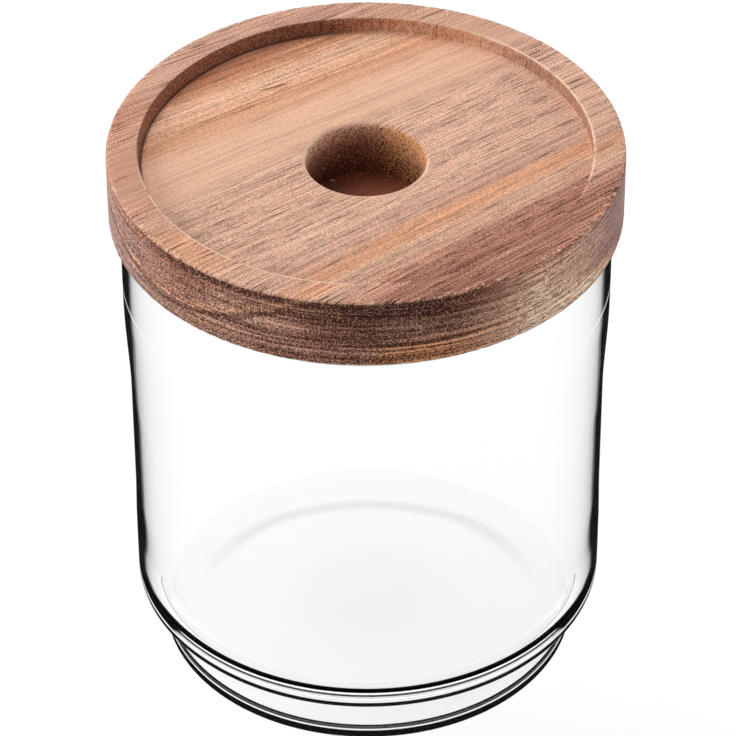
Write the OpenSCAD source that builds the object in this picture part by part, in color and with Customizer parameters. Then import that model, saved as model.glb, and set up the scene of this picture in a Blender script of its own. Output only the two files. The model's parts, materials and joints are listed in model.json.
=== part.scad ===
// Round glass storage jar with a turned wooden lid.
// The lid is a thick disc with a shallow round recess on top and a finger hole
// through its middle. A smaller disc is glued under it and plugs the mouth, with
// a soft seal ring in a groove round it. The jar's stepped foot is a little
// smaller than the recess, so one jar stands in the lid of another.
// Lengths are in millimetres. The origin is the middle of the underside, and Z
// points up.

/* [Jar] */
// Height of the jar, from the table to its rim
jar_h = 113.5; // [95:0.5:200]
// Outside diameter of the body at its waist, the narrowest stretch
waist_d = 105.5; // [90:0.5:140]
// How far the collar below the rim stands out from the waist, on the radius
collar_swell = 0.9; // [0.3:0.1:2]
// How far the heel stands out from the waist, on the radius
heel_swell = 0.2; // [0:0.1:1]
// Height of the heel's straight stretch, from the table
heel_h = 28; // [24:1:40]
// Height over which the heel runs out into the waist
heel_run = 14; // [6:1:20]
// Thickness of the body's wall
wall = 1.2; // [1.1:0.05:3]
// Thickness of the wall at the heel
heel_wall = 1.3; // [1.1:0.05:3]

/* [Collar and mouth] */
// Height of the collar, from the rim down to where the body narrows
collar_h = 21.5; // [16:0.5:30]
// Height of the stretch where the collar runs out into the waist
swell_h = 25; // [15:1:35]
// Thickness of the wall at the rim
rim_wall = 1.35; // [1.2:0.05:2]
// Radius of the rounded edges of the rim
rim_round = 0.5; // [0.2:0.05:0.55]

/* [Foot] */
// How far the foot is set in from the heel, on the radius
foot_inset = 5.75; // [4:0.05:12]
// Height of the foot, from the table to the step
foot_h = 14; // [8:0.5:20]
// Thickness of the foot's wall
foot_wall = 1.5; // [1.2:0.1:3]
// Thickness of the step
step_wall = 3; // [1.2:0.1:4]
// Thickness of the floor
floor_t = 1.6; // [1.4:0.1:5]
// Rise of the floor at its middle
push_up = 1.6; // [0.5:0.1:3]
// Width of the flat ring that the jar stands on
bearing_w = 5.3; // [3:0.1:8]
// Radius of the heel, where the body turns in to the step
heel_round = 1.35; // [0.8:0.05:3]
// Radius of the inner corner above the step
ledge_round = 3.5; // [1:0.1:3.6]
// Radius of the corner between the step and the foot
step_round = 2.2; // [0.4:0.1:3]
// Radius of the inner edge of the step
well_round = 2.2; // [0.4:0.1:2.3]
// Radius of the foot's lower edge
foot_round = 0.6; // [0.5:0.1:2]
// Radius of the inner corner at the floor's edge
floor_round = 2.2; // [0.8:0.1:3]

/* [Wooden disc] */
// Thickness of the disc
lid_t = 16.5; // [12:0.5:24]
// How far the disc reaches out past the jar's collar
lid_overhang = 2.35; // [1:0.05:5]
// Depth of the recess on top
recess_t = 3.5; // [2:0.5:6]
// Diameter of the finger hole
finger_d = 26; // [20:1:32]
// Radius of the disc's rounded edges
edge_round = 0.8; // [0.3:0.1:1.5]
// Clearance round a foot that stands in the recess
stack_gap = 1.8; // [1:0.1:3]

/* [Plug and seal] */
// Thickness of the plug disc
plug_t = 6.5; // [5:0.5:10]
// Gap between the plug and the mouth, which the seal's lips reach across
plug_gap = 5.2; // [4:0.1:7]
// Height of the seal's groove
groove_h = 3.2; // [2.5:0.1:4]
// Depth of the seal's groove
groove_depth = 2; // [1:0.1:3]
// Radius of the plug's lower edge
plug_round = 0.8; // [0.3:0.1:1.5]
// Width of the seal's band, from its inside to the root of its lips
band_w = 3.2; // [2.5:0.1:4]
// Thickness of a lip at its root
lip_root = 1; // [0.6:0.1:1.4]
// Thickness of a lip at its tip
lip_tip = 0.5; // [0.3:0.1:0.6]
// Clearance between the seal's lips and the mouth
lip_gap = 0.3; // [0.2:0.05:0.5]
// Clearance between the seal's band and the groove
band_gap = 0.1; // [0.05:0.05:0.2]

/* [Hidden] */
$fn = 180;

// Steps in a corner, in a swell of the wall and across the domed floor
corner_steps = 6;
swell_steps = 8;
dome_steps = 10;
// Length by which a cut runs past the face that it opens
overrun = 1;

waist_r = waist_d / 2;
collar_r = waist_r + collar_swell;
heel_r = waist_r + heel_swell;
foot_r = heel_r - foot_inset;
bore_r = waist_r - wall;
mouth_r = collar_r - rim_wall;
collar_z = jar_h - collar_h;
waist_top_z = collar_z - swell_h;
waist_z = heel_h + heel_run;
heel_in_r = heel_r - heel_wall;
well_r = foot_r - foot_wall;
ledge_z = foot_h + step_wall;
bearing_r = foot_r - foot_round - bearing_w;

lid_r = collar_r + lid_overhang;
lid_top_z = jar_h + lid_t;
recess_r = foot_r + stack_gap;
plug_r = mouth_r - plug_gap;
neck_r = plug_r - groove_depth;
plug_z = jar_h - plug_t;
groove_z = jar_h - groove_h;
band_in_r = neck_r + band_gap;
band_out_r = band_in_r + band_w;
band_z = groove_z + band_gap;
band_h = jar_h - band_z;
lip_r = mouth_r - lip_gap;

// Points of an arc round (x, z), from one angle to another
function arc(x, z, r, from, to) =
    [for (i = [0 : corner_steps])
        let (a = from + (to - from) * i / corner_steps)
        [x + r * cos(a), z + r * sin(a)]];

// Points of a smooth swell between two radii, without its first point
function swell(r0, z0, r1, z1) =
    [for (i = [1 : swell_steps])
        let (t = i / swell_steps)
        [r0 + (r1 - r0) * (1 - cos(180 * t)) / 2, z0 + (z1 - z0) * t]];

// Points of a dome, from its middle out to radius r at height z
function dome(r, z) =
    [for (i = [0 : dome_steps])
        let (t = i / dome_steps)
        [r * t, z + push_up * (1 - t * t)]];

function reversed(points) = [for (i = [len(points) - 1 : -1 : 0]) points[i]];

// Outside of the jar, from the middle of its underside up to the rim
outside = concat(
    dome(bearing_r, 0),
    arc(foot_r - foot_round, foot_round, foot_round, -90, 0),
    arc(foot_r + step_round, foot_h - step_round, step_round, 180, 90),
    arc(heel_r - heel_round, foot_h + heel_round, heel_round, -90, 0),
    [[heel_r, heel_h]],
    swell(heel_r, heel_h, waist_r, waist_z),
    [[waist_r, waist_top_z]],
    swell(waist_r, waist_top_z, collar_r, collar_z),
    arc(collar_r - rim_round, jar_h - rim_round, rim_round, 0, 90));

// Inside of the jar, from the rim down to the middle of the floor
inside = concat(
    arc(mouth_r + rim_round, jar_h - rim_round, rim_round, 90, 180),
    [[mouth_r, collar_z]],
    swell(mouth_r, collar_z, bore_r, waist_top_z),
    [[bore_r, waist_z]],
    swell(bore_r, waist_z, heel_in_r, heel_h),
    arc(heel_in_r - ledge_round, ledge_z + ledge_round, ledge_round, 0, -90),
    arc(well_r + well_round, ledge_z - well_round, well_round, 90, 180),
    arc(well_r - floor_round, floor_t + floor_round, floor_round, 0, -90),
    reversed(dome(bearing_r, floor_t)));

// Clear glass jar: thin wall, wider collar, stepped foot
module glass_jar() {
    color([0.9, 0.94, 0.93, 0.4])
        rotate_extrude()
            polygon(concat(outside, inside));
}

// Wooden disc with its recess and finger hole
module lid_disc() {
    color([0.66, 0.45, 0.32])
        difference() {
            rotate_extrude()
                polygon(concat(
                    [[0, jar_h]],
                    arc(lid_r - edge_round, jar_h + edge_round, edge_round, -90, 0),
                    arc(lid_r - edge_round, lid_top_z - edge_round, edge_round, 0, 90),
                    [[0, lid_top_z]]));
            translate([0, 0, lid_top_z - recess_t])
                cylinder(r = recess_r, h = recess_t + overrun);
            translate([0, 0, jar_h - overrun])
                cylinder(d = finger_d, h = lid_t + 2 * overrun);
        }
}

// Wooden plug under the disc, with the seal's groove round its top
module lid_plug() {
    color([0.5, 0.3, 0.2])
        difference() {
            rotate_extrude()
                polygon(concat(
                    [[0, plug_z]],
                    arc(plug_r - plug_round, plug_z + plug_round, plug_round, -90, 0),
                    [[plug_r, jar_h], [0, jar_h]]));
            translate([0, 0, groove_z])
                difference() {
                    cylinder(r = plug_r + overrun, h = groove_h + overrun);
                    translate([0, 0, -overrun])
                        cylinder(r = neck_r, h = groove_h + 3 * overrun);
                }
        }
}

// Soft seal ring: a band in the groove and two lips that reach to the mouth
module seal_ring() {
    color([0.85, 0.86, 0.85])
        rotate_extrude()
            union() {
                translate([band_in_r, band_z])
                    square([band_w, band_h]);
                for (side = [-1, 1])
                    translate([band_out_r, band_z + (band_h + side * (band_h - lip_root)) / 2])
                        polygon([
                            [-band_w / 2, -lip_root / 2],
                            [0, -lip_root / 2],
                            [lip_r - band_out_r, -lip_tip / 2],
                            [lip_r - band_out_r, lip_tip / 2],
                            [0, lip_root / 2],
                            [-band_w / 2, lip_root / 2]]);
            }
}

glass_jar();
lid_disc();
lid_plug();
seal_ring();
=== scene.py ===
# %% [markdown]
# # A glass jar with a turned wooden lid
#
# The jar is four real pieces: a clear glass jar, a thick turned disc of acacia, a
# thinner wooden plug glued under it, and a soft seal in a groove round the plug.
# Each one is a body of revolution, so each one is made here as a maker would make
# it: draw half of its outline, then turn it about the jar's own axis.
#
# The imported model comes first. It is the frame that everything else is fitted to.

# %% Load the frame
import json
import math

import bmesh
import bpy
from mathutils import Matrix, Vector, noise


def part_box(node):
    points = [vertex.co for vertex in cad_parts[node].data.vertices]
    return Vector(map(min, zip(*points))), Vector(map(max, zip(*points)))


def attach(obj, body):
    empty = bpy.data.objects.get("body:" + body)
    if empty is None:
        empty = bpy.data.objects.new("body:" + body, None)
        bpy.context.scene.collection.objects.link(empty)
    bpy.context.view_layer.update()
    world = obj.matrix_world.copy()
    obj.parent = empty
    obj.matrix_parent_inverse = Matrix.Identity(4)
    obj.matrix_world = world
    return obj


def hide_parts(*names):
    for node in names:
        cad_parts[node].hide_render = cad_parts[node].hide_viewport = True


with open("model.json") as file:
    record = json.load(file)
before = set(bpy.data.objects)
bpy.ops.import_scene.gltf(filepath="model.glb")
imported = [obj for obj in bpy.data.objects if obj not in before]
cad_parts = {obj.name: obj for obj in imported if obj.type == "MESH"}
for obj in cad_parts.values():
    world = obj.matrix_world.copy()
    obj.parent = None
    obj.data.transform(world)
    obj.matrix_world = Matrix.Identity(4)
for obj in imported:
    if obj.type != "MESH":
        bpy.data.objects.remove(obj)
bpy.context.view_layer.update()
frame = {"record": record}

# %% [markdown]
# ## Sizes
#
# All lengths below are in millimetres, because that is how a maker thinks of a
# jar, and the meshes are scaled to metres as they are made. The outside sizes are
# read from the frame. Sizes that a box can't tell are named beside their pieces.

# %% Read the main sizes from the frame
MM = 0.001


def box_mm(node):
    """Lowest and highest corner of a CAD node, in millimetres."""
    low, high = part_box(node)
    return [c / MM for c in low], [c / MM for c in high]


mounts = {m["name"]: m for m in frame["record"]["mounts"]}

_, jar_high = box_mm("glass_jar")
rim_z = jar_high[2]
collar_r = jar_high[0]
foot_r = mounts["foot"]["dims"]["r_mm"]

_, lid_high = box_mm("lid_disc")
lid_r = lid_high[0]
lid_top_z = lid_high[2]
recess_r = mounts["stack_recess"]["dims"]["r_mm"]
recess_z = mounts["recess_floor"]["pos_m"][2] / MM

plug_low, plug_high = box_mm("lid_plug")
plug_r = plug_high[0]
plug_z = plug_low[2]

_, seal_high = box_mm("seal_ring")
lip_r = seal_high[0]

print(f"jar {rim_z:.1f} high and {2 * collar_r:.1f} across, lid {2 * lid_r:.1f} across")

# %% [markdown]
# ## Camera
#
# The photograph looks down at the jar by about 38 degrees, through a long lens
# from about a metre away. The long lens keeps the jar's sides nearly parallel.
# A slight roll and a one pixel shift give the small tilt that the picture has.

# %% Place the camera
IMAGE_PX = 736
FILM_MM = 36.0
focal_px = 4349.0
shift_px = 1
camera_place = (0, -0.7627, 0.6736)
pitch_deg = 38.41
roll_deg = -0.3

camera_data = bpy.data.cameras.new("photo_camera")
camera_data.sensor_width = FILM_MM
camera_data.lens = focal_px / IMAGE_PX * FILM_MM
camera_data.shift_x = shift_px / IMAGE_PX
camera = bpy.data.objects.new("photo_camera", camera_data)
camera.matrix_world = (
    Matrix.Translation(camera_place)
    @ Matrix.Rotation(math.radians(90 - pitch_deg), 4, "X")
    @ Matrix.Rotation(math.radians(roll_deg), 4, "Z")
)
bpy.context.scene.collection.objects.link(camera)
bpy.context.scene.camera = camera
bpy.context.scene.view_settings.view_transform = "Standard"
print(f"lens {camera_data.lens:.1f} mm")

# %% [markdown]
# ## Nodes in few words
#
# Every finish here is made from nodes. A long material is easier to read if one
# call makes a node and connects it, so here is a small workbench for that: each
# method of Recipe makes one kind of node and returns what comes out of it.

# %% A workbench for materials


class Recipe:
    """The node tree of one material or world, with a short call for each step."""

    def __init__(self, owner):
        owner.use_nodes = True
        self.tree = owner.node_tree
        self.tree.nodes.clear()

    def node(self, kind, inputs=None, **settings):
        """A node; inputs maps a socket's name or number to a value or an output."""
        made = self.tree.nodes.new("ShaderNode" + kind)
        for name, value in settings.items():
            setattr(made, name, value)
        for key, value in (inputs or {}).items():
            if isinstance(value, bpy.types.NodeSocket):
                self.tree.links.new(value, made.inputs[key])
            else:
                made.inputs[key].default_value = value
        return made

    def math(self, operation, a, b=0.0, clamp=False):
        made = self.node("Math", {0: a, 1: b}, operation=operation, use_clamp=clamp)
        return made.outputs[0]

    def rise(self, value, start, end, low=0.0, high=1.0):
        """Goes smoothly from low to high while value goes from start to end."""
        made = self.node(
            "MapRange",
            {"Value": value, "From Min": start, "From Max": end, "To Min": low, "To Max": high},
            interpolation_type="SMOOTHSTEP",
        )
        return made.outputs[0]

    def ramp(self, value, stops):
        """A colour ramp; stops is a list of (position, colour)."""
        made = self.node("ValToRGB", {0: value})
        marks = made.color_ramp.elements
        while len(marks) < len(stops):
            marks.new(1.0)
        for mark, (place, colour) in zip(marks, stops):
            mark.position = place
            mark.color = (*colour, 1)
        return made.outputs[0]

    def mix(self, share, a, b, blend="MIX"):
        """Colour a, with colour b over it by that share."""
        made = self.node("Mix", {0: share, 6: a, 7: b}, data_type="RGBA", blend_type=blend)
        return made.outputs[2]

    def stretch(self, vector, scales):
        """The vector with each of its parts multiplied."""
        made = self.node("VectorMath", {0: vector, 1: scales}, operation="MULTIPLY")
        return made.outputs[0]

    def length(self, vector):
        made = self.node("VectorMath", {0: vector}, operation="LENGTH")
        return made.outputs["Value"]

    def noise(self, vector, detail=2.0, roughness=0.5):
        made = self.node(
            "TexNoise", {"Vector": vector, "Scale": 1.0, "Detail": detail, "Roughness": roughness}
        )
        return made.outputs[0]

    def cover(self, share, under, over):
        """The shader node under, with the shader node over on top by that share."""
        return self.node("MixShader", {0: share, 1: under.outputs[0], 2: over.outputs[0]})

    def surface(self, shader, kind="Material"):
        """Ends the recipe with this shader node."""
        self.node("Output" + kind, {"Surface": shader.outputs[0]})


print("recipe bench ready")

# %% [markdown]
# ## Shares
#
# Most of a finish is told in shares. A share is a number from 0 to 1 that says how
# much of a colour or a line there is at a point. Painter adds what is done with
# shares again and again: to scale one, draw a line, multiply several or take the
# largest.

# %% Sums with shares


class Painter(Recipe):
    """A recipe that also works with shares."""

    def blend(self, value, factor, addend):
        """value x factor + addend, all in one node."""
        made = self.node("Math", {0: value, 1: factor, 2: addend}, operation="MULTIPLY_ADD")
        return made.outputs[0]

    def swing(self, value, width):
        """A noise from 0 to 1 as a number of that width about 0."""
        return self.blend(value, width, -width / 2)

    def line(self, value, middle, half, share=1.0, core=0.35):
        """A share where the value is near the middle, fading to 0 at half a width away."""
        away = self.math("ABSOLUTE", self.math("SUBTRACT", value, middle))
        return self.rise(away, half, half * core, 0.0, share)

    def joined(self, operation, parts):
        """Several numbers put through the same sum, one after another."""
        result = parts[0]
        for part in parts[1:]:
            result = self.math(operation, result, part)
        return result

    def all_of(self, *shares):
        """Several shares multiplied together."""
        return self.joined("MULTIPLY", shares)

    def largest(self, *shares):
        return self.joined("MAXIMUM", shares)


print("painter ready")

# %% [markdown]
# ## Colours
#
# A picture on a screen gives a colour as three numbers from 0 to 255, bent so that
# dark steps are finer. Nodes reckon with light itself, so the bend is taken out.

# %% Two ways to write a colour


def tone(red, green, blue):
    """A colour as read off a screen, from 0 to 255, as the linear one that nodes take."""
    return tuple(
        c / 12.92 if c <= 0.04045 else ((c + 0.055) / 1.055) ** 2.4
        for c in (red / 255, green / 255, blue / 255)
    )


def grey(level):
    """A grey for a node's socket, from 0 for black to 1 for white."""
    return (level, level, level, 1)


BLACK = grey(0)
WHITE = grey(1)
print("middle grey of a screen is", round(tone(128, 128, 128)[0], 3), "as light")

# %% [markdown]
# ## Floor and air
#
# The jar stands on a plain pale sheet, in front of white. Clear glass shows what
# is behind it, so what the camera and the glass see is plain white, while the
# light that falls on the wood stays at a level where colours look as written.
# Light Path tells the two kinds of ray apart. The floor keeps a faint shadow.
#
# What makes glass readable is its dark lines. In a studio they come from light that
# the inside of the glass mirrors towards the dark part of the room. Here such a ray
# has been both in glass and mirrored, which Light Path also tells, and it finds the
# floor and the low air dark. Only straight up it still finds white.

# %% Tell the rays apart
ONCE = 0.5


def seen_share(recipe):
    """1 for rays from the camera, through glass or off a gloss; 0 for the rest."""
    path = recipe.node("LightPath")
    seen = recipe.math("MAXIMUM", path.outputs["Is Camera Ray"], path.outputs["Is Glossy Ray"])
    return recipe.math("MAXIMUM", seen, path.outputs["Is Transmission Ray"])


def mirrored_share(recipe):
    """1 for rays that were mirrored inside glass, 0 for the rest."""
    path = recipe.node("LightPath")
    mirrored = recipe.math("GREATER_THAN", path.outputs["Glossy Depth"], ONCE)
    in_glass = recipe.math("GREATER_THAN", path.outputs["Transmission Depth"], ONCE)
    return recipe.math("MULTIPLY", mirrored, in_glass)


print("a ray counts as mirrored when its depth is over", ONCE)

# %% [markdown]
# ## The white air
#
# The air is the world's background. Three plain ones are mixed by the kind of ray: a
# modest one that lights the wood, a white one that is seen, and a dark one.

# %% Make the white air
AIR_LIGHT = 0.34
DARK_SIDE = 0.004
DARK_BELOW = 0.66
WHITE_ABOVE = 0.68

world = bpy.data.worlds.new("white_air")
bpy.context.scene.world = world
air = Recipe(world)
lit = air.node("Background", {"Color": WHITE, "Strength": AIR_LIGHT})
shown = air.node("Background", {"Color": WHITE, "Strength": 1.0})
dark = air.node("Background", {"Color": WHITE, "Strength": DARK_SIDE})
towards = air.node("SeparateXYZ", {0: air.node("TexCoord").outputs["Generated"]}).outputs
low = air.rise(towards[2], WHITE_ABOVE, DARK_BELOW)
hidden = air.math("MULTIPLY", mirrored_share(air), low)
air.surface(air.cover(hidden, air.cover(seen_share(air), lit, shown), dark), "World")
print("air:", len(air.tree.nodes), "nodes")

# %% [markdown]
# ## The white floor
#
# The floor is one large square, a twentieth of a millimetre under the foot, so that
# the two never share a plane. A diffuse part takes the shadow, and a glow makes up
# the rest of its white for the camera.

# %% Lay the white floor
FLOOR_REACH = 6.0
FLOOR_DROP = 0.00005
SHEET_GREY = 0.55
SHADOW_GREY = 0.22
FLOOR_GLOW = 0.82

floor_material = bpy.data.materials.new("pale_sheet")
sheet = Recipe(floor_material)
plain = sheet.node("BsdfDiffuse", {"Color": grey(SHEET_GREY)})
shadow_part = sheet.node("BsdfDiffuse", {"Color": grey(SHADOW_GREY)})
white_part = sheet.node("Emission", {"Color": WHITE, "Strength": FLOOR_GLOW})
dark = sheet.node("Emission", {"Color": WHITE, "Strength": DARK_SIDE})
bright = sheet.node("AddShader", {0: shadow_part.outputs[0], 1: white_part.outputs[0]})
both = sheet.cover(seen_share(sheet), plain, bright)
sheet.surface(sheet.cover(mirrored_share(sheet), both, dark))

floor_mesh = bpy.data.meshes.new("floor_sheet")
corners = [
    (x * FLOOR_REACH, y * FLOOR_REACH, -FLOOR_DROP) for x, y in ((-1, -1), (1, -1), (1, 1), (-1, 1))
]
floor_mesh.from_pydata(corners, [], [(0, 1, 2, 3)])
floor_mesh.materials.append(floor_material)
floor = bpy.data.objects.new("floor_sheet", floor_mesh)
bpy.context.scene.collection.objects.link(floor)
print("floor and air are white to the camera")

# %% [markdown]
# ## Lamps
#
# In the photograph the lid's top is lit from above, the left side of its edge is
# the brightest and the front is dark, and the finger hole is lit on its right. So
# one wide lamp hangs above and behind, one stands at the left, and a weaker one
# at the right. Wide lamps give soft edges to the shadows.

# %% Hang the lamps
AIM = Vector((0, 0, 0.1))


def hang_lamp(name, place, width, height, watts):
    """A wide lamp at a place, turned towards the lid; lengths in metres."""
    lamp_data = bpy.data.lights.new(name, "AREA")
    lamp_data.shape = "RECTANGLE"
    lamp_data.size = width
    lamp_data.size_y = height
    lamp_data.energy = watts
    lamp = bpy.data.objects.new(name, lamp_data)
    lamp.location = place
    lamp.rotation_euler = (AIM - Vector(place)).to_track_quat("-Z", "Y").to_euler()
    lamp.visible_camera = False
    bpy.context.scene.collection.objects.link(lamp)
    print(f"{name}: {watts} W at {(AIM - Vector(place)).length:.2f} m")


hang_lamp("lamp_above", (-0.25, 0.35, 0.95), 0.7, 0.5, 4.2)
hang_lamp("lamp_left", (-0.85, 0.0, 0.45), 0.5, 0.6, 5.0)
hang_lamp("lamp_right", (0.85, 0.05, 0.35), 0.3, 0.6, 2.6)

# %% [markdown]
# ## Drawing half an outline
#
# A lathe needs half an outline. Three small helpers draw it: bend() for a rounded
# corner, swell() for a wall that runs out smoothly, and steps_of() to cut long
# straight runs into short ones, so that the smooth shading stays true beside the
# small corners.

# %% Helpers for outlines


def bend(r, z, radius, start, end, steps=12):
    """Points of a round corner about (r, z), from one angle to another, in degrees."""
    angles = [math.radians(start + (end - start) * i / steps) for i in range(steps + 1)]
    return [(r + radius * math.cos(a), z + radius * math.sin(a)) for a in angles]


def swell(r0, z0, r1, z1, steps=16):
    """Points of a wall that runs smoothly from one radius to another, without the first."""
    shares = [i / steps for i in range(1, steps + 1)]
    return [
        (r0 + (r1 - r0) * (1 - math.cos(math.pi * t)) / 2, z0 + (z1 - z0) * t) for t in shares
    ]


def steps_of(outline, longest):
    """The outline with its long runs cut into steps no longer than that."""
    cut = []
    for a, b in zip(outline, outline[1:]):
        count = max(1, math.ceil(math.dist(a, b) / longest))
        for i in range(count):
            t = i / count
            cut.append((a[0] + (b[0] - a[0]) * t, a[1] + (b[1] - a[1]) * t))
    return cut + [outline[-1]]


print("a quarter round is", len(bend(0, 0, 1, 0, 90)), "points")

# %% [markdown]
# ## Turning a piece
#
# Blender has a Screw modifier that turns an outline. Here the rings are made in mesh
# code instead, because then the caps on the axis, the joining of the last ring to
# the first and the number of sides are all plain to see.

# %% The lathe
ON_AXIS = 1e-6


def turn(name, outline, sides):
    """Turns an outline in millimetres about Z into a closed mesh object in metres.

    An outline that starts and ends on the axis closes there; any other is a ring,
    and its last point joins its first."""
    mesh = bpy.data.meshes.new(name)
    work = bmesh.new()
    rings = []
    for r, z in outline:
        if r < ON_AXIS:
            rings.append([work.verts.new((0, 0, z * MM))])
            continue
        ring = []
        for i in range(sides):
            angle = 2 * math.pi * i / sides
            place = (r * MM * math.cos(angle), r * MM * math.sin(angle), z * MM)
            ring.append(work.verts.new(place))
        rings.append(ring)
    pairs = list(zip(rings, rings[1:]))
    if len(rings[0]) > 1:
        pairs.append((rings[-1], rings[0]))
    for a, b in pairs:
        for i in range(sides):
            j = (i + 1) % sides
            corners = [a[i % len(a)], a[j % len(a)], b[j % len(b)], b[i % len(b)]]
            kept = [c for n, c in enumerate(corners) if c not in corners[:n]]
            work.faces.new(kept)
    bmesh.ops.recalc_face_normals(work, faces=work.faces)
    for face in work.faces:
        face.smooth = True
    work.to_mesh(mesh)
    work.free()
    piece = bpy.data.objects.new(name, mesh)
    bpy.context.scene.collection.objects.link(piece)
    print(f"{name}: {len(mesh.vertices)} points, {len(mesh.polygons)} faces")
    return piece


# %% [markdown]
# ## The glass jar
#
# The jar is blown in one piece. Its wall is thin, swells out a little to the collar
# under the lid, and steps in above the foot so that one jar can stand in the lid of
# another. Glass bends light by the shape of both of its faces, so the outline runs
# up the outside and back down the inside. The inner corners are wider than the outer
# ones, as they are where hot glass settled in a mould, and they draw the black lines
# that run round the heel.

# %% Sizes of the jar
waist_r = collar_r - 0.9
heel_r = waist_r + 0.2
heel_z = 28.0
waist_z = 42.0
waist_top_z = 67.0
collar_z = 92.0
wall = 1.2
rim_wall = 1.35
heel_wall = 1.3
foot_wall = 1.5
step_z = 14.0
step_wall = 3.0
floor_t = 1.6
push_up = 1.6
bearing_w = 5.3
rim_round = 0.5
heel_round = 1.35
ledge_round = 3.5
step_round = 2.2
well_round = 2.2
foot_round = 0.6
floor_round = 2.2
bore_r = waist_r - wall
mouth_r = collar_r - rim_wall
heel_in_r = heel_r - heel_wall
well_r = foot_r - foot_wall
ledge_z = step_z + step_wall
bearing_r = foot_r - foot_round - bearing_w
print(f"mouth {2 * mouth_r:.1f} wide, foot {2 * foot_r:.1f} wide")

# %% Outline of the jar
JAR_SIDES = 288
JAR_STEP = 2.0


def dome(r, z, steps=20):
    """The pushed-up middle of the floor, from the axis out to radius r."""
    shares = [i / steps for i in range(steps + 1)]
    return [(r * t, z + push_up * (1 - t * t)) for t in shares]


jar_outside = (
    dome(bearing_r, 0)
    + bend(foot_r - foot_round, foot_round, foot_round, -90, 0)
    + bend(foot_r + step_round, step_z - step_round, step_round, 180, 90)
    + bend(heel_r - heel_round, step_z + heel_round, heel_round, -90, 0)
    + [(heel_r, heel_z)]
    + swell(heel_r, heel_z, waist_r, waist_z)
    + [(waist_r, waist_top_z)]
    + swell(waist_r, waist_top_z, collar_r, collar_z)
    + bend(collar_r - rim_round, rim_z - rim_round, rim_round, 0, 90)
)
jar_inside = (
    bend(mouth_r + rim_round, rim_z - rim_round, rim_round, 90, 180)
    + [(mouth_r, collar_z)]
    + swell(mouth_r, collar_z, bore_r, waist_top_z)
    + [(bore_r, waist_z)]
    + swell(bore_r, waist_z, heel_in_r, heel_z)
    + bend(heel_in_r - ledge_round, ledge_z + ledge_round, ledge_round, 0, -90, 20)
    + bend(well_r + well_round, ledge_z - well_round, well_round, 90, 180, 16)
    + bend(well_r - floor_round, floor_t + floor_round, floor_round, 0, -90, 16)
    + dome(bearing_r, floor_t)[::-1]
)
jar = turn("jar_glass", steps_of(jar_outside + jar_inside, JAR_STEP), JAR_SIDES)
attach(jar, "jar")
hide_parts("glass_jar")

# %% [markdown]
# ## The wooden disc
#
# The disc is cut from one thick board and turned: a shallow recess on top for the
# foot of another jar, a finger hole right through, and edges just broken with
# sandpaper. The recess has a nearly square inner corner and a crisp lip. It has
# more sides than the other pieces, because its edges are worn next, by fine bumps.

# %% Turn the disc
DISC_SIDES = 640
DISC_STEP = 2.5
edge_round = 0.8
lip_round = 0.25
corner_round = 0.3
hole_r = 13.0
hole_round = 1.2

disc_outline = (
    bend(hole_r + lip_round, rim_z + lip_round, lip_round, 180, 270, 4)
    + bend(lid_r - edge_round, rim_z + edge_round, edge_round, -90, 0, 8)
    + bend(lid_r - edge_round, lid_top_z - edge_round, edge_round, 0, 90, 8)
    + bend(recess_r + lip_round, lid_top_z - lip_round, lip_round, 90, 180, 4)
    + bend(recess_r - corner_round, recess_z + corner_round, corner_round, 0, -90, 4)
    + bend(hole_r + hole_round, recess_z - hole_round, hole_round, 90, 180, 8)
)
closed_outline = disc_outline + disc_outline[:1]
disc = turn("lid_board", steps_of(closed_outline, DISC_STEP)[:-1], DISC_SIDES)
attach(disc, "lid")
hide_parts("lid_disc")

# %% [markdown]
# ## Worn edges
#
# Wood is never turned dead true, and hands and tables take a little off its edges.
# A Displace modifier could do it, but here each point near an edge is moved in code
# by a noise, so that it only ever moves into the wood and never past the disc's size.
# Half goes inwards and half up or down, as a real edge wears at a slant.

# %% Wear the disc's edges
WEAR = 0.12
WEAR_GRAIN = 1.6
SLANT = 0.7


def wear(piece, depth, size, keep):
    """Moves points inwards by up to depth, by a noise of that grain size, in millimetres.

    keep(r, z) says how much of the wear reaches a point, from 0 to 1."""
    fine = 0.4 * size
    moved = 0
    for point in piece.data.vertices:
        r = math.hypot(point.co.x, point.co.y) / MM
        share = keep(r, point.co.z / MM)
        if share <= 0:
            continue
        bumps = noise.noise(point.co / (size * MM)) + 0.5 * noise.noise(point.co / (fine * MM))
        inward = Vector((-point.co.x, -point.co.y, 0)).normalized()
        amount = depth * MM * share * max(0.0, 0.35 + bumps)
        if r < recess_r + 2 and point.co.z / MM > recess_z - 2:
            inward = -inward
        point.co += inward * amount * SLANT
        on_top = point.co.z / MM > (rim_z + lid_top_z) / 2
        point.co.z -= amount * SLANT if on_top else -amount * SLANT
        moved += 1
    print(f"{piece.name}: {moved} points worn by up to {depth} mm")


def near_edges(r, z):
    """1 on the disc's outer edges and on the recess's lip, 0 elsewhere."""
    outer = min(abs(z - lid_top_z), abs(z - rim_z)) < edge_round and r > lid_r - 1.2
    lip = z > lid_top_z - 0.6 and abs(r - recess_r) < 0.6
    return 1.0 if outer else 0.5 if lip else 0.0


wear(disc, WEAR, WEAR_GRAIN, near_edges)

# %% [markdown]
# ## The plug
#
# A thinner disc is glued under the first. It closes the finger hole from below and
# drops into the jar's mouth. A groove round its top holds the seal.

# %% Turn the plug
PLUG_STEP = 2.5
plug_round = 0.8
groove_h = 3.2
groove_depth = 2.0
groove_z = rim_z - groove_h
neck_r = plug_r - groove_depth
small_round = 0.15

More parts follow.
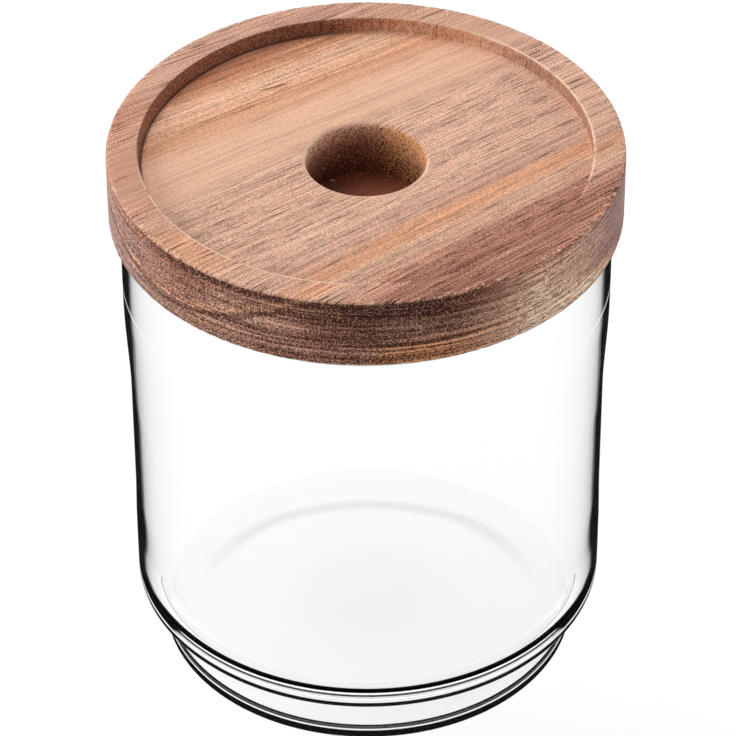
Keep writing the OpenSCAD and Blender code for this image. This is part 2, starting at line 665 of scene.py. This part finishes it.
plug_outline = (
    [(0, plug_z)]
    + bend(plug_r - plug_round, plug_z + plug_round, plug_round, -90, 0, 8)
    + bend(plug_r - small_round, groove_z - small_round, small_round, 0, 90, 3)
    + [(neck_r, groove_z), (neck_r, rim_z), (0, rim_z)]
)
plug = turn("plug_board", steps_of(plug_outline, PLUG_STEP), JAR_SIDES)
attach(plug, "lid")
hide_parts("lid_plug")

# %% [markdown]
# ## The seal
#
# The seal is a moulded silicone ring: a square band that sits in the groove and two
# thin lips, which reach out to the glass and bend as the lid is pushed in.

# %% Mould the seal
SEAL_STEP = 0.8
band_gap = 0.1
band_w = 3.2
band_in_r = neck_r + band_gap
band_out_r = band_in_r + band_w
band_z = groove_z + band_gap
lip_root = 1.0
lip_tip = 0.5
lip_corner = 0.2
tip_round = lip_tip / 2


def lip(base_z, up):
    """Outline of one lip, tapering from its root to a round tip at height base_z."""
    root_z = base_z + up * lip_root
    tip_z = base_z + up * (lip_root + lip_tip) / 2
    low, high = sorted((base_z, root_z))
    edges = bend(lip_r - tip_round, tip_z, tip_round, -90, 90, 8)
    return [(band_out_r, low)] + edges + [(band_out_r, high)]


seal_outline = (
    [(band_in_r + lip_corner, band_z)]
    + lip(band_z, 1)
    + lip(rim_z, -1)
    + [(band_in_r + lip_corner, rim_z)]
    + [(band_in_r, rim_z - lip_corner), (band_in_r, band_z + lip_corner)]
)
seal = turn("seal_silicone", steps_of(seal_outline, SEAL_STEP), JAR_SIDES)
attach(seal, "lid")
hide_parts("seal_ring")

# %% [markdown]
# ## Clear glass
#
# Thin clear glass in front of white is nearly invisible. What shows it is its
# edge: where light meets the inner face too flatly to get out, it is mirrored away
# to the dark side of the room and the wall turns black, and next to that it loses
# light step by step. A refraction shader bends the light. Fresnel's rule tells where
# all of it is mirrored, which a gloss shader does, and where some of it is lost.
#
# A ray from the camera meets this jar's wall twice, in front and at the back. In the
# photograph only the near wall draws dark lines, and the far one stays clear. A ray
# that has left the near wall and crossed more of the jar's inside than a corner takes
# has reached the far one. Light Path tells both, and such a ray goes on straight.

# %% Near wall, far wall and lost light
GLASS_IOR = 1.5
# A run in metres that is longer than any in a corner of the wall.
CROSSING = 0.018
# A ray that has passed both faces of a wall has a transmission depth of 2.
BOTH_FACES = 1.5
ALL_LIGHT = 0.9999
LOSS_START = 0.08
LOSS_SPAN = 0.6
LOSS_POWER = 1.45
LOSS = 0.83

glass_material = bpy.data.materials.new("clear_glass")
glass = Painter(glass_material)
mirror_rate = glass.node("Fresnel", {"IOR": GLASS_IOR}).outputs[0]
leaving = glass.node("NewGeometry").outputs["Backfacing"]
entering = glass.math("SUBTRACT", 1.0, leaving)
path = glass.node("LightPath").outputs
crossed = glass.math("GREATER_THAN", path["Ray Length"], CROSSING)
passed_near = glass.math("GREATER_THAN", path["Transmission Depth"], BOTH_FACES)
reached = glass.all_of(crossed, passed_near, entering)
inside_far = glass.math("GREATER_THAN", path["Transparent Depth"], ONCE)
all_mirrored = glass.all_of(glass.math("GREATER_THAN", mirror_rate, ALL_LIGHT), leaving)
slipping = glass.all_of(all_mirrored, passed_near)
far = glass.largest(reached, inside_far, slipping)

flat_look = glass.math("SUBTRACT", mirror_rate, LOSS_START)
flat_look = glass.math("DIVIDE", flat_look, LOSS_SPAN, clamp=True)
loss = glass.all_of(glass.math("POWER", flat_look, LOSS_POWER), LOSS, leaving)
print("glass, near and far:", len(glass.tree.nodes), "nodes")

# %% [markdown]
# ## Painted highlights and dark lines in the glass
#
# Where a jar's outline turns, the glass draws lines of a few tenths of a millimetre:
# highlights low on the foot, at the step and on the collar's two flanks, and dark
# lines round the heel, where light is mirrored away. They come from turns of the
# surface that are too small for a mesh, so they are painted on the outer face by
# height, as painted highlights and painted dark lines. A painted highlight lets the
# ray go straight on, a painted dark line stops it, and the foot's wall gets a little
# painted shade.

# %% Paint the highlights and dark lines
# Each line is a height, half a width and a share.
HIGHLIGHT_LINES = [(2.55, 0.36, 1.0), (3.35, 0.35, 0.1), (16.5, 0.4, 1.0)]
PAINTED_DARK_LINES = [(17.75, 0.8, 0.35), (18.1, 0.5, 0.95), (19.5, 0.7, 0.95)]
COLLAR_HIGHLIGHTS = [(96.6, 0.4, 0.9)]
LINE_CORE = 0.3
FACE_DEPTH = 0.4
FOOT_SHADE = 0.18

spot = glass.node("TexCoord").outputs["Object"]
flat_spot = glass.stretch(spot, (1 / MM, 1 / MM, 0))
spot_x, spot_y, _ = glass.node("SeparateXYZ", {0: flat_spot}).outputs
spot_z = glass.math("MULTIPLY", glass.node("SeparateXYZ", {0: spot}).outputs[2], 1 / MM)
spot_r = glass.length(flat_spot)


def rings(lines):
    """Soft lines round the jar."""
    return glass.largest(*[glass.line(spot_z, *line, LINE_CORE) for line in lines])


def outer_face(radius):
    """1 where a ray enters the glass on an outer face of that radius or a larger one."""
    return glass.all_of(glass.math("GREATER_THAN", spot_r, radius - FACE_DEPTH), entering)


foot_face = outer_face(foot_r)
on_flank = glass.rise(glass.math("ABSOLUTE", spot_x), 42, 46)
# Painted highlights: on these lines the ray goes straight on to the white floor.
highlight_lines = glass.all_of(rings(HIGHLIGHT_LINES), foot_face)
collar_highlights = glass.all_of(rings(COLLAR_HIGHLIGHTS), on_flank, outer_face(collar_r))
far = glass.largest(far, highlight_lines, collar_highlights)
on_near = glass.math("SUBTRACT", 1.0, passed_near)
# Painted dark lines, standing in for light mirrored away: no ray passes.
painted_dark_lines = glass.all_of(rings(PAINTED_DARK_LINES), outer_face(heel_r), on_near)
# Painted shade: the foot's wall lets a little less light through.
foot_shade = glass.all_of(glass.math("LESS_THAN", spot_z, step_z), foot_face, FOOT_SHADE)
loss = glass.largest(loss, foot_shade)
print("glass, fine lines:", len(glass.tree.nodes), "nodes so far")

# %% [markdown]
# ## Painted shadow and haze on the floor
#
# The jar's floor is domed. On its underside a wide faint arc of painted shadow lies
# at the back, with a faint haze that is a little darker towards the middle. Both are
# a veil that dims what is seen straight through the floor, by some hundredths.

# %% Paint the shadow and haze on the floor
FLOOR_SKIN = 1.7
ARC_RADIUS = 41.0
ARC_SHIFT = (0, 5.6, 0)
ARC_SHARE = 0.13
CLEAR_VEIL = 0.985

underside = glass.all_of(glass.math("LESS_THAN", spot_z, FLOOR_SKIN), leaving)
aside = glass.node("VectorMath", {0: flat_spot, 1: ARC_SHIFT}, operation="ADD").outputs[0]
off_arc = glass.math("ABSOLUTE", glass.math("SUBTRACT", glass.length(aside), ARC_RADIUS))
# Painted shadow: a faint arc across the back of the floor.
shadow_arc = glass.all_of(glass.rise(off_arc, 3.4, 0.2, 0.0, ARC_SHARE), glass.rise(spot_y, 2, 28))
shadow_and_haze = glass.math("ADD", glass.rise(spot_r, 26, 6, 0.03, 0.07), shadow_arc)
shadow_and_haze = glass.all_of(shadow_and_haze, underside)
straight = glass.node("BsdfTransparent", {"Color": glass.mix(shadow_and_haze, grey(CLEAR_VEIL), BLACK)})
print("glass, veil:", len(glass.tree.nodes), "nodes so far")

# %% [markdown]
# ## The glass put together
#
# Four shaders lie over each other. Refraction carries most rays, and takes away the
# lost light. A sharp mirror takes those that are mirrored inside, with a trace of
# gloss outside. Rays at the far wall and on the painted highlights go straight on,
# and the painted dark lines are black. The glass casts no shadow, as the photograph's casts none.

# %% Glass finish
CLEAR_GLASS = (0.995, 1.0, 0.998, 1)
GLOSS = 0.01

through = glass.mix(loss, CLEAR_GLASS, BLACK)
refraction = glass.node("BsdfRefraction", {"Color": through, "Roughness": 0.0, "IOR": GLASS_IOR})
mirror = glass.node("BsdfAnisotropic", {"Color": WHITE, "Roughness": 0.0})
black = glass.node("BsdfTransparent", {"Color": BLACK})
outside_gloss = glass.all_of(glass.math("MINIMUM", mirror_rate, GLOSS), entering)
mirrored = glass.math("ADD", outside_gloss, all_mirrored)
body = glass.cover(mirrored, refraction, mirror)
body = glass.cover(far, body, straight)
glass.surface(glass.cover(painted_dark_lines, body, black))
jar.data.materials.append(glass_material)
jar.visible_shadow = False
print("glass finish:", len(glass.tree.nodes), "nodes")

# %% [markdown]
# ## Acacia: where a point lies in the board
#
# The disc is cut from one board, so its grain has to run through it in depth: what
# is a streak on top is a dot or a ring on the edge. That is a solid texture. The
# first step turns the piece's own coordinates into the board's: u along the grain,
# v across it and w up, in millimetres. The grain fans out a little towards one side.

# %% Board coordinates
GRAIN_DEG = 36.8
GRAIN_FAN = 0.00128


class Board(Painter):
    """A painter that knows the board's own directions, in millimetres."""

    def __init__(self, owner):
        super().__init__(owner)
        place = self.node("TexCoord").outputs["Object"]
        turned = self.node(
            "Mapping",
            {
                "Vector": place,
                "Rotation": (0, 0, math.radians(-GRAIN_DEG)),
                "Scale": (1 / MM, 1 / MM, 1 / MM),
            },
        )
        self.u, flat_v, self.w = self.node("SeparateXYZ", {0: turned.outputs[0]}).outputs
        fan = self.blend(self.u, GRAIN_FAN, 1.0)
        self.v = self.math("MULTIPLY", flat_v, fan)
        self.grain = self.node("CombineXYZ", {0: self.u, 1: self.v, 2: self.w}).outputs[0]
        flat = self.stretch(place, (1 / MM, 1 / MM, 0))
        self.radius = self.length(flat)
        self.x, self.y, _ = self.node("SeparateXYZ", {0: flat}).outputs
        self.depth = self.math("SUBTRACT", lid_top_z, self.w)
        facing = self.node("SeparateXYZ", {0: self.node("TexCoord").outputs["Normal"]}).outputs
        self.level = self.rise(self.math("ABSOLUTE", facing[2]), 0.35, 0.75)

    def grained(self, along, across, up, detail=2.0, roughness=0.5):
        """A noise with that many waves per millimetre along the grain, across it and up."""
        return self.noise(self.stretch(self.grain, (along, across, up)), detail, roughness)

    def spots(self, scales, randomness):
        """Scattered spots: how far the nearest one's middle is, and its own random number."""
        cells = self.node(
            "TexVoronoi",
            {"Vector": self.stretch(self.grain, scales), "Scale": 1.0, "Randomness": randomness},
        )
        chance = self.node("SeparateColor", {0: cells.outputs["Color"]}).outputs[0]
        return cells.outputs["Distance"], chance


print(f"grain runs {GRAIN_DEG} degrees from X")

# %% [markdown]
# ## Acacia: colours
#
# About a dozen colours make the whole board, from pale sapwood to nearly black
# heartwood. Across the top they lie in bands as straight as the grain, with a broad
# peach one and a brown one in front. A colour ramp lays out such bands by a place.

# %% Palette
PALETTE = {
    "cream": tone(246, 214, 186),
    "peach": tone(225, 179, 151),
    "sand": tone(211, 170, 146),
    "rose": tone(200, 158, 138),
    "amber": tone(212, 155, 121),
    "gold": tone(236, 162, 112),
    "clay": tone(187, 139, 118),
    "tan": tone(162, 114, 96),
    "honey": tone(228, 168, 118),
    "rust": tone(172, 110, 82),
    "umber": tone(134, 88, 72),
    "bark": tone(72, 36, 32),
    "mauve": tone(160, 126, 119),
}
ZONE_REACH = 60.0


def by_place(wood, place, stops):
    """Colours by a place in millimetres, from -60 to 60."""
    share = wood.node("MapRange", {"Value": place, "From Min": -ZONE_REACH, "From Max": ZONE_REACH})
    return wood.ramp(
        share.outputs[0], [((at + ZONE_REACH) / (2 * ZONE_REACH), colour) for at, colour in stops]
    )


def zones(wood, place, bands):
    """Colours of the palette by a place in millimetres."""
    return by_place(wood, place, [(at, PALETTE[name]) for at, name in bands])


def paint(wood, under, name, *shares):
    """A colour with one of the palette laid over it, by all of the shares together."""
    return wood.mix(wood.all_of(*shares), under, (*PALETTE[name], 1))


def shade(wood, colour, light):
    """A colour made lighter or darker by a plain number."""
    level = wood.node("CombineXYZ", {0: light, 1: light, 2: light}).outputs[0]
    return wood.mix(1.0, colour, level, "MULTIPLY")


print(len(PALETTE), "colours")

# %% [markdown]
# ## Acacia: the top
#
# The bands lean a little, so they are shifted on the rim, which lies higher than the
# recess. The rim is also redder, as the part that hands touch. Long streaks waver
# along the grain, and one golden streak and one fine crack run beside them.

# %% Bands of the top
# The rust band at 45, beside the recess's back-left wall, is partly wood, partly painted shade.
TOP_BANDS = [
    (-60, "cream"), (-56, "tan"), (-38.5, "tan"), (-35, "clay"), (-31, "sand"), (-27, "amber"),
    (-22, "rose"), (-17, "sand"), (10, "sand"), (15, "peach"), (23, "peach"), (29, "amber"),
    (36, "peach"), (40, "amber"), (45, "rust"), (51, "clay"),
]
LEAN = 1.7
WAVER = 5.0

lid_material = bpy.data.materials.new("acacia_board")
wood = Board(lid_material)
lean = wood.blend(wood.w, LEAN, -LEAN * recess_z)
waver = wood.swing(wood.grained(0.012, 0.06, 0.06), WAVER)
across = wood.math("ADD", wood.math("ADD", wood.v, lean), waver)
colour = zones(wood, across, TOP_BANDS)

on_rim = wood.rise(wood.radius, recess_r - 0.2, recess_r + 0.4)
back_rim = wood.all_of(on_rim, wood.rise(wood.v, -5, 10), wood.rise(wood.u, -50, -20))
low_rim = wood.all_of(
    on_rim, wood.rise(wood.u, -30, -46), wood.rise(wood.v, 6, -2), wood.rise(wood.v, -22, -10)
)
left_rim = wood.all_of(on_rim, wood.rise(wood.u, -18, -46), wood.rise(wood.v, -2, 8))
colour = paint(wood, colour, "rose", back_rim, 0.7)
colour = paint(wood, colour, "amber", low_rim, 0.75)
colour = paint(wood, colour, "clay", left_rim, 0.75)
print(len(TOP_BANDS), "bands on top")

# %% Streaks of the top
GOLDEN_AT = -25.2
SPLIT_AT = 33.9
SPLIT_SLOPE = 0.17

streaks = wood.grained(0.010, 0.5, 0.5, 4.0, 0.6)
colour = paint(wood, colour, "clay", wood.rise(streaks, 0.48, 0.75, 0.0, 0.45))
colour = paint(wood, colour, "peach", wood.rise(streaks, 0.50, 0.26, 0.0, 0.35))
golden = wood.all_of(
    wood.line(across, GOLDEN_AT, 1.5), wood.rise(streaks, 0.35, 0.55), wood.rise(wood.radius, 49, 47)
)
colour = paint(wood, colour, "gold", golden, wood.rise(wood.u, -34, -10), 0.42)
split = wood.all_of(
    wood.line(wood.blend(wood.u, SPLIT_SLOPE, wood.v), SPLIT_AT, 0.3),
    wood.rise(wood.u, -4, -2),
    wood.rise(wood.u, 5, 2),
    wood.rise(wood.radius, 48, 47),
)
colour = paint(wood, colour, "umber", split)
print("top colours:", len(wood.tree.nodes), "nodes so far")

# %% [markdown]
# ## Acacia: the edge
#
# On the edge the same board shows its depth. On the left the grain ends there:
# mauve-brown wood with one growth ring that runs as a wide arch. The front is dark
# heartwood, nearly black under the rim and golden at the bottom. To the right the
# pale sapwood begins. Where the edge turns to the far left and right, its mauve is
# partly the wood's own colour and partly painted sheen. Three rows of colours, at the
# top, the middle and the bottom of the edge, are mixed by depth.

# %% Colours of the edge
# Mauve at both ends of each row: partly the wood's own colour, partly painted sheen.
EDGE_TOP = [
    (-60, "mauve"), (-48, "tan"), (-40, "umber"), (-30, "tan"), (-16, "tan"), (-9, "umber"),
    (-4, "bark"), (14, "bark"), (21, "umber"), (27, "tan"), (36, "peach"), (44, "sand"),
    (50, "mauve"), (60, "mauve"),
]
EDGE_MIDDLE = [
    (-60, "mauve"), (-52, "mauve"), (-44, "clay"), (-36, "tan"), (-28, "rose"), (-18, "clay"),
    (-9, "umber"), (2, "umber"), (11, "clay"), (19, "tan"), (28, "peach"), (38, "cream"),
    (45, "sand"), (51, "mauve"), (60, "mauve"),
]
EDGE_BOTTOM = [
    (-60, "mauve"), (-50, "mauve"), (-36, "clay"), (-26, "clay"), (-18, "tan"), (-9, "tan"),
    (0, "clay"), (8, "gold"), (15, "gold"), (21, "amber"), (28, "peach"), (34, "cream"),
    (46, "cream"), (51, "sand"), (55, "mauve"), (60, "mauve"),
]
DRIFT_X = 14.0
DRIFT_DEPTH = -7.0

drift = wood.grained(0.05, 0.05, 0.25, 3.0, 0.6)
x_place = wood.math("ADD", wood.x, wood.swing(drift, DRIFT_X))
depth_place = wood.math("ADD", wood.depth, wood.swing(drift, DRIFT_DEPTH))
top_row, middle_row, bottom_row = [
    zones(wood, x_place, row) for row in (EDGE_TOP, EDGE_MIDDLE, EDGE_BOTTOM)
]
edge = wood.mix(wood.rise(depth_place, 2.0, 7.5), top_row, middle_row)
edge = wood.mix(wood.rise(depth_place, 8.5, 13.5), edge, bottom_row)
print("edge colours:", len(wood.tree.nodes), "nodes so far")

# %% Layers of the edge and its growth ring
RING_RADIUS = 50.8
RING_CENTRE = 40.0
RING_SHIFT = 2.0
RING_WIDTH = 1.4

layers = wood.grained(0.025, 0.025, 1.2, 4.0, 0.65)
in_front = wood.all_of(wood.rise(wood.x, -56, -30), wood.rise(wood.x, 34, 18))
below_rim = wood.rise(wood.depth, 1, 4, 0.3, 0.85)
above_bottom = wood.rise(wood.depth, 15, 11, 0.4, 1.0)
dark_layer = wood.rise(layers, 0.52, 0.60)
pale_layer = wood.rise(layers, 0.46, 0.34)
edge = paint(wood, edge, "bark", dark_layer, in_front, below_rim, above_bottom)
edge = paint(wood, edge, "rose", pale_layer, in_front, wood.rise(wood.depth, 2, 6, 0.0, 0.5))
under_rim = wood.all_of(
    wood.line(wood.depth, 1.2, 1.5), wood.rise(wood.x, -50, -40), wood.rise(wood.x, 32, 18)
)
edge = paint(wood, edge, "bark", under_rim, 0.75)

arch = wood.node(
    "CombineXYZ",
    {0: wood.blend(wood.v, 1.0, RING_SHIFT), 1: wood.blend(wood.depth, 1.0, RING_CENTRE)},
)
arch = wood.math("ADD", wood.length(arch.outputs[0]), wood.swing(drift, 3.0))
left = wood.rise(wood.x, -8, -20)
edge = paint(wood, edge, "amber", wood.line(arch, RING_RADIUS, 1.0), left, 0.6)
edge = paint(wood, edge, "bark", wood.line(arch, RING_RADIUS + RING_WIDTH, 0.9), left, 0.75)
print("edge layers:", len(wood.tree.nodes), "nodes so far")

# %% [markdown]
# ## Acacia: pores, fibres and grit on top
#
# Pores are long fine tubes. On top they are cut along their length and show as
# short dark dashes, crowded in the middle of the board and rare in the peach band.
# A Voronoi texture gives one dash per cell, and the cell's own random number says
# whether it is there. Noise that is stretched along the grain makes the fibres, and
# sanding leaves a fine grit.

# %% Pores and grit
CROWDING = [(-48, 0.35), (-24, 0.4), (-9.6, 0.75), (7.2, 0.7), (16.8, 0.12), (48, 0.35)]
CALM_AT = 19.0
CALM_HALF = 14.0

fibres = wood.grained(0.024, 1.6, 0.5, 4.0, 0.8)
grit = wood.grained(2.6, 4.2, 4.2, 1.0)
fine_lines = wood.rise(wood.grained(0.03, 2.3, 0.2, 3.0, 0.7), 0.54, 0.66)
pore, pore_chance = wood.spots((0.10, 2.2, 0.0), 1.0)
crowding = by_place(wood, wood.v, [(at, (amount,) * 3) for at, amount in CROWDING])
dash = wood.all_of(wood.rise(pore, 0.32, 0.18), wood.math("LESS_THAN", pore_chance, crowding))
rough = wood.all_of(
    wood.blend(wood.line(wood.v, CALM_AT, CALM_HALF), -0.6, 1.0),
    wood.rise(across, -32, -37, 1.0, 1.7),
    wood.blend(on_rim, 0.35, 1.0),
)
light = wood.math("ADD", wood.swing(fibres, 2.3), wood.swing(grit, 2.0))
light = wood.math("ADD", wood.math("MULTIPLY", light, rough), 1.08)
colour = shade(wood, colour, light)
colour = paint(wood, colour, "umber", fine_lines, rough, 0.5)
colour = paint(wood, colour, "bark", dash, rough, 0.65)
print("pores and grit:", len(wood.tree.nodes), "nodes so far")

# %% [markdown]
# ## Acacia: painted highlights on the lips, painted shade in a corner
#
# Sanded edges are thin and catch the light: crumbs along the outer edge, partly worn
# wood and partly painted highlight, and a fine painted highlight on the recess's lip
# and one round the front of the hole. In the recess's left corner a dark line of
# painted shade lies at the foot of the wall. The mesh has these edges, but lines this
# fine read better when they are also painted, by their distance from the middle.

# %% Painted highlights on the lips and painted shade in a corner
# Crumbs on the outer edge: partly worn wood, partly painted highlight.
worn = wood.rise(wood.grained(1.1, 1.1, 1.1, 1.0), 0.58, 0.68)
worn_edge_glints = wood.all_of(worn, wood.line(wood.radius, lid_r - 0.5, 1.2), 0.6)
# Painted highlights on the recess's lip and round the front of the hole.
lip_side = wood.largest(wood.rise(wood.x, 8, -8), wood.rise(wood.y, -22, -8))
lip_gaps = wood.rise(wood.grained(0.2, 0.2, 0.2), 0.3, 0.5)
lip_highlight = wood.all_of(
    wood.line(wood.radius, recess_r + 0.15, 0.5),
    wood.rise(wood.depth, 0.6, 0.3),
    lip_side,
    wood.rise(wood.v, 30, 10),
    lip_gaps,
    0.8,
)
hole_front = wood.largest(wood.rise(wood.y, 3, -4), wood.rise(wood.x, -8, -12))
hole_highlight = wood.all_of(wood.line(wood.radius, hole_r + 0.4, 0.55), hole_front, 0.65)
# Painted shade: a dark line in the recess's left corner.
corner_shade = wood.line(wood.radius, recess_r - 0.2, 0.75)
colour = paint(wood, colour, "bark", corner_shade, wood.rise(wood.x, 4, -16), 0.8)
colour = paint(wood, colour, "cream", wood.largest(worn_edge_glints, lip_highlight, hole_highlight))
print("lips and corner:", len(wood.tree.nodes), "nodes so far")

# %% [markdown]
# ## Acacia: grain of the edge
#
# On the edge the pores are cut across. They hold pale dust and show as light dots on
# the dark wood, and as short dark slits in the sapwood. The wood also lies in thin
# plies. Dust and plies are added up first, so that light and dark specks follow the
# layers as they do in real end grain.

# %% Dust, plies and dots of the edge
dust = wood.swing(wood.grained(2.5, 2.5, 3.8, 1.0), 7.2)
plies = wood.swing(wood.grained(0.02, 0.02, 1.5, 4.0, 0.75), 7.5)
plies = wood.all_of(plies, wood.rise(wood.x, -12, -34, 1.0, 0.6))
speckle = wood.math("ADD", dust, plies)
speckle = wood.all_of(speckle, wood.rise(wood.x, 8, 30, 1.0, 0.42))
glow = wood.largest(wood.all_of(speckle, 0.95), 0.0)
edge = shade(wood, edge, wood.math("ADD", glow, 1.0))
edge = paint(wood, edge, "cream", wood.rise(speckle, 0.4, 1.6, 0.0, 0.25))
edge = paint(wood, edge, "bark", wood.rise(speckle, 0.15, -0.9, 0.0, 0.92))

dot, dot_chance = wood.spots((1.8, 1.8, 2.7), 0.9)
dot = wood.all_of(
    wood.rise(dot, 0.42, 0.24), wood.math("LESS_THAN", dot_chance, 0.7), wood.rise(wood.x, 40, 20)
)
edge = paint(wood, edge, "peach", dot, dot_chance, 1.7)
slit = wood.rise(wood.grained(0.35, 0.35, 2.3, 1.0), 0.55, 0.66)
edge = paint(wood, edge, "umber", slit, wood.rise(wood.x, 20, 34), 0.7)
print("edge grain:", len(wood.tree.nodes), "nodes so far")

# %% [markdown]
# ## Acacia: the inner walls
#
# The walls of the recess and of the finger hole are cut into brown wood. They start
# from the top's own bands, made browner and darker with depth as painted shade, with
# more painted shade low on the hole's left and on both sides of the recess. The side
# that faces the light, on the right of the hole, gets painted light in honey, and the
# upper walls are painted lighter. Honey and bark grains cover all of it, as the drill
# tears the fibres where it cuts across them; the honey grains are thicker on the lit side.

# %% Colours, painted light and painted shade of the inner walls
upright = wood.math("SUBTRACT", 1.0, wood.level)
in_recess = wood.rise(wood.radius, 30, 40)
# Painted light on the right of the hole, painted shade on both sides of the recess.
lit_side = wood.all_of(
    wood.rise(wood.x, -2, 8), wood.rise(wood.x, 28, 16), wood.rise(wood.radius, 48, 15, 0.1, 1.0)
)
shaded = wood.largest(wood.rise(wood.x, -4, -26, 0.0, 0.7), wood.rise(wood.x, 22, 38, 0.0, 0.45))
# Painted shade: browner and darker with depth.
wall_colour = paint(wood, colour, "umber", wood.rise(wood.depth, 3.0, 9.0, 0.1, 0.8))
wall_colour = paint(wood, wall_colour, "honey", lit_side, 0.8)
wall_colour = paint(wood, wall_colour, "umber", shaded, in_recess)
# Painted light: the upper walls lighter, less so in the recess.
wall_light = wood.rise(wood.depth, 14, 4, 1.0, 1.6)
wall_light = wood.math("SUBTRACT", wall_light, wood.all_of(in_recess, 0.4))
wall_colour = shade(wood, wall_colour, wall_light)

# Painted shade: dark low on the hole's left.
deep_shade = wood.all_of(wood.rise(wood.depth, 6, 15), wood.rise(wood.x, 11, -3, 0.5, 0.95))
grains = wood.grained(2.6, 2.6, 2.2, 2.0, 0.7)
dark_grain = wood.rise(grains, 0.52, 0.42)
light_grain = wood.rise(grains, 0.51, 0.59)
wall_colour = paint(wood, wall_colour, "bark", deep_shade)
wall_colour = paint(wood, wall_colour, "bark", dark_grain, wood.blend(in_recess, -0.3, 0.8))
# More honey grains where the light is painted.
wall_colour = paint(wood, wall_colour, "honey", light_grain, wood.blend(lit_side, 0.6, 0.3))
print("inner walls:", len(wood.tree.nodes), "nodes so far")

# %% [markdown]
# ## Acacia: top, walls and edge together
#
# The edge's colours belong only on the outer rim's upright face, and the walls'
# only on the upright faces inside it. Two Bump nodes make the grit stand up and the
# pores sink in. The wood is sanded and thinly oiled, so it is rough and hardly shines.

# %% Lid wood finish
WOOD_SHINE = 0.03

on_inner_wall = wood.all_of(upright, wood.rise(wood.radius, 52, 50))
on_edge = wood.all_of(upright, wood.rise(wood.radius, 52, 54))
colour = wood.mix(on_inner_wall, colour, wall_colour)
colour = wood.mix(on_edge, colour, edge)

bump = wood.node("Bump", {"Strength": 0.35, "Distance": 0.12 * MM, "Height": grit})
bump = wood.node(
    "Bump", {"Strength": 0.6, "Distance": -0.2 * MM, "Height": dash, "Normal": bump.outputs[0]}
)
board = wood.node(
    "BsdfPrincipled", {"Base Color": colour, "Roughness": 0.5, "Normal": bump.outputs[0]}
)
board.inputs["Specular IOR Level"].default_value = WOOD_SHINE
wood.surface(board)
disc.data.materials.append(lid_material)
print("board finish:", len(wood.tree.nodes), "nodes")

# %% [markdown]
# ## The plug's wood
#
# The plug is plainer, redder wood from another board. Only its top is seen, at the
# bottom of the finger hole, darker on the left where the hole shades it. A few pale
# crumbs of glue and dust lie in the joint at the back.

# %% Plug wood finish
PLUG_DARK = tone(112, 54, 30)
PLUG_LIGHT = tone(152, 80, 46)

plug_material = bpy.data.materials.new("acacia_plug")
plug_wood = Board(plug_material)
plug_fibres = plug_wood.grained(0.05, 1.4, 1.4, 4.0, 0.6)
plug_colour = plug_wood.ramp(plug_fibres, [(0.3, PLUG_DARK), (0.7, PLUG_LIGHT)])
plug_shade = plug_wood.rise(plug_wood.x, 0, -11, 0.0, 0.7)
plug_colour = paint(plug_wood, plug_colour, "bark", plug_shade)
plug_grains = plug_wood.rise(plug_wood.grained(2.2, 2.2, 2.2, 1.0), 0.5, 0.36, 0.0, 0.5)
plug_colour = paint(plug_wood, plug_colour, "bark", plug_grains)
crumbs = plug_wood.rise(plug_wood.grained(1.6, 1.6, 1.6, 1.0), 0.66, 0.70)
by_joint = plug_wood.all_of(
    plug_wood.rise(plug_wood.radius, 10, 12.4), plug_wood.rise(plug_wood.y, 0, 5)
)
plug_colour = paint(plug_wood, plug_colour, "cream", crumbs, by_joint)
plug_board = plug_wood.node("BsdfPrincipled", {"Base Color": plug_colour, "Roughness": 0.6})
plug_wood.surface(plug_board)
plug.data.materials.append(plug_material)
print("plug finish:", len(plug_wood.tree.nodes), "nodes")

# %% [markdown]
# ## Silicone
#
# Food-safe silicone is pale, matt and slightly see-through. Light enters it, spreads
# and comes out again, which Principled's subsurface does over two millimetres. A
# slow noise gives it the faint clouds that the moulded rubber has.

# %% Silicone finish
CLOUDS_PER_METRE = 150
SPREAD = 0.002

seal_material = bpy.data.materials.new("pale_silicone")
rubber = Recipe(seal_material)
place = rubber.node("TexCoord").outputs["Object"]
cloud = rubber.noise(rubber.stretch(place, (CLOUDS_PER_METRE,) * 3), 2.0)
rubber_colour = rubber.ramp(cloud, [(0.3, tone(222, 224, 222)), (0.7, tone(236, 237, 235))])
soft = rubber.node("BsdfPrincipled", {"Base Color": rubber_colour, "Roughness": 0.45})
soft.inputs["Subsurface Weight"].default_value = 0.3
soft.inputs["Subsurface Scale"].default_value = SPREAD
rubber.surface(soft)
seal.data.materials.append(seal_material)
print("seal finish:", len(rubber.tree.nodes), "nodes")
